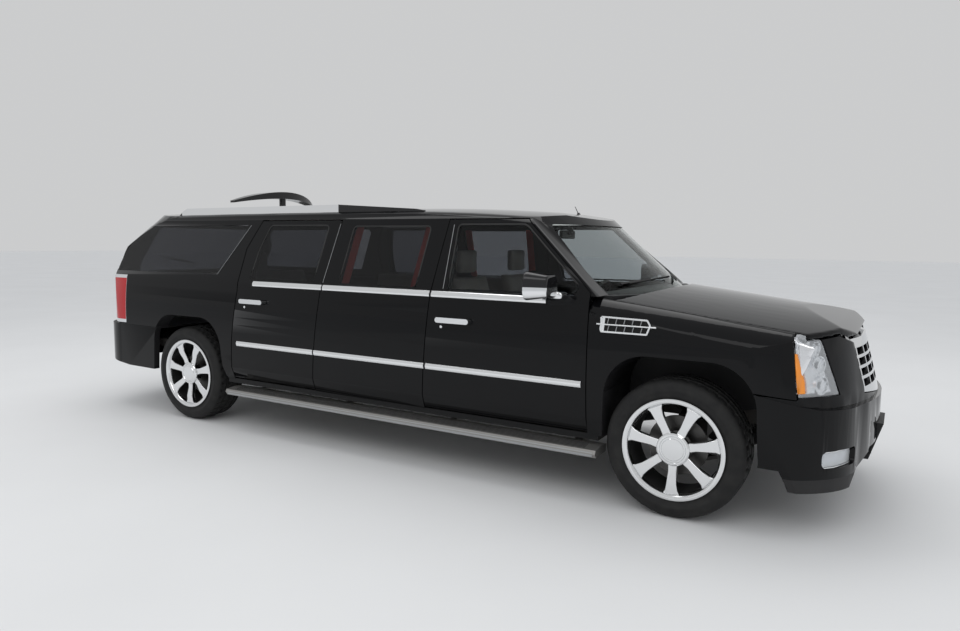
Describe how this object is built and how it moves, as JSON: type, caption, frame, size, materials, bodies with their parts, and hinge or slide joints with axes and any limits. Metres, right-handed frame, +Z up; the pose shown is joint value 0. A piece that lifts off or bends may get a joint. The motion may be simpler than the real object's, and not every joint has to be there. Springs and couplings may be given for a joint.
{
  "type": "stretch limousine",
  "caption": "Stretched six-window luxury wagon with side doors, hood, tailgate, steering front wheels and chrome wheels.",
  "frame": {"origin": "on the ground, under the middle of the vehicle's overall box", "axes": "+X forward, +Y to the vehicle's left, +Z up"},
  "size_m": [6.636, 2.436, 2.0299],
  "materials": {
    "body_paint": "deep gloss black",
    "bright_trim": "polished",
    "clear_glass": "clear",
    "dark_glass": "tinted",
    "wheel_chrome": "polished",
    "tyre": "matte",
    "lamp_clear": "clear lens",
    "lamp_red": "gloss lens",
    "black_plastic": "grained",
    "seat_leather": "soft sheen",
    "underbody": "satin",
    "cast_metal": "rough cast"
  },
  "bodies": {
    "root": {"roof_panel": "body_paint", "stretch_panels": "body_paint", "quarter_panels": "body_paint", "front_fenders": "body_paint", "front_bumper": "body_paint", "rear_bumper": "body_paint", "fender_vents": "bright_trim", "grille": "bright_trim", "roof_rails": "bright_trim", "windshield": "clear_glass", "side_glass": "dark_glass", "front_lamps": "lamp_clear", "tail_lamps": "lamp_red", "running_boards": "black_plastic", "cowl_panel": "black_plastic", "roof_antenna": "black_plastic", "dashboard": "black_plastic", "steering_wheel": "black_plastic", "front_seats": "seat_leather", "rear_seats": "seat_leather", "chassis_frame": "underbody", "floor_pan": "underbody", "fuel_tank": "underbody", "front_suspension": "underbody", "rear_axle": "underbody", "exhaust": "underbody", "engine_block": "cast_metal"},
    "hood": {"hood": "body_paint"},
    "tailgate": {"tailgate": "body_paint", "tailgate_glass": "dark_glass"},
    "front_door_right": {"front_door_right": "body_paint", "front_door_glass_right": "dark_glass", "front_handle_right": "bright_trim", "door_mirror_right": "bright_trim"},
    "rear_door_right": {"rear_door_right": "body_paint", "rear_door_glass_right": "dark_glass", "rear_handle_right": "bright_trim"},
    "knuckle_right": {"knuckle_right": "cast_metal"},
    "front_wheel_right": {"front_rim_right": "wheel_chrome", "front_tyre_right": "tyre"},
    "rear_wheel_right": {"rear_rim_right": "wheel_chrome", "rear_tyre_right": "tyre"},
    "front_door_left": {"front_door_left": "body_paint", "front_door_glass_left": "dark_glass", "front_handle_left": "bright_trim", "door_mirror_left": "bright_trim"},
    "rear_door_left": {"rear_door_left": "body_paint", "rear_door_glass_left": "dark_glass", "rear_handle_left": "bright_trim"},
    "knuckle_left": {"knuckle_left": "cast_metal"},
    "front_wheel_left": {"front_rim_left": "wheel_chrome", "front_tyre_left": "tyre"},
    "rear_wheel_left": {"rear_rim_left": "wheel_chrome", "rear_tyre_left": "tyre"}
  },
  "joints": [
    {"name": "front_door_right", "type": "hinge", "parent": "root", "child": "front_door_right", "pos_m": [1.758, -1.013, 0.812], "axis": [0, 0.0702, 0.9975], "range_deg": [0, 65]},
    {"name": "rear_door_right", "type": "hinge", "parent": "root", "child": "rear_door_right", "pos_m": [-0.45161, -1.013, 0.812], "axis": [0.1235, 0.0697, 0.9899], "range_deg": [0, 65]},
    {"name": "steer_right", "type": "hinge", "parent": "root", "child": "knuckle_right", "pos_m": [2.288, -0.8, 0.4075], "axis": [0, 0, 1], "range_deg": [-32, 32]},
    {"name": "front_wheel_right", "type": "hinge", "parent": "knuckle_right", "child": "front_wheel_right", "pos_m": [2.288, -0.85, 0.4075], "axis": [0, 1, 0], "continuous": true},
    {"name": "rear_wheel_right", "type": "hinge", "parent": "root", "child": "rear_wheel_right", "pos_m": [-1.964, -0.85, 0.4075], "axis": [0, 1, 0], "continuous": true},
    {"name": "front_door_left", "type": "hinge", "parent": "root", "child": "front_door_left", "pos_m": [1.758, 1.013, 0.812], "axis": [0, 0.0702, -0.9975], "range_deg": [0, 65]},
    {"name": "rear_door_left", "type": "hinge", "parent": "root", "child": "rear_door_left", "pos_m": [-0.45161, 1.013, 0.812], "axis": [-0.1235, 0.0697, -0.9899], "range_deg": [0, 65]},
    {"name": "steer_left", "type": "hinge", "parent": "root", "child": "knuckle_left", "pos_m": [2.288, 0.8, 0.4075], "axis": [0, 0, 1], "range_deg": [-32, 32]},
    {"name": "front_wheel_left", "type": "hinge", "parent": "knuckle_left", "child": "front_wheel_left", "pos_m": [2.288, 0.85, 0.4075], "axis": [0, 1, 0], "continuous": true},
    {"name": "rear_wheel_left", "type": "hinge", "parent": "root", "child": "rear_wheel_left", "pos_m": [-1.964, 0.85, 0.4075], "axis": [0, 1, 0], "continuous": true},
    {"name": "hood", "type": "hinge", "parent": "root", "child": "hood", "pos_m": [1.863, 0, 1.25], "axis": [0, -1, 0], "range_deg": [0, 50]},
    {"name": "tailgate", "type": "hinge", "parent": "root", "child": "tailgate", "pos_m": [-2.94105, 0, 1.74], "axis": [0, 1, 0], "range_deg": [0, 85]}
  ],
  "couplings": [
    {"joint": "steer_left", "follows": "steer_right", "ratio": 1}
  ]
}
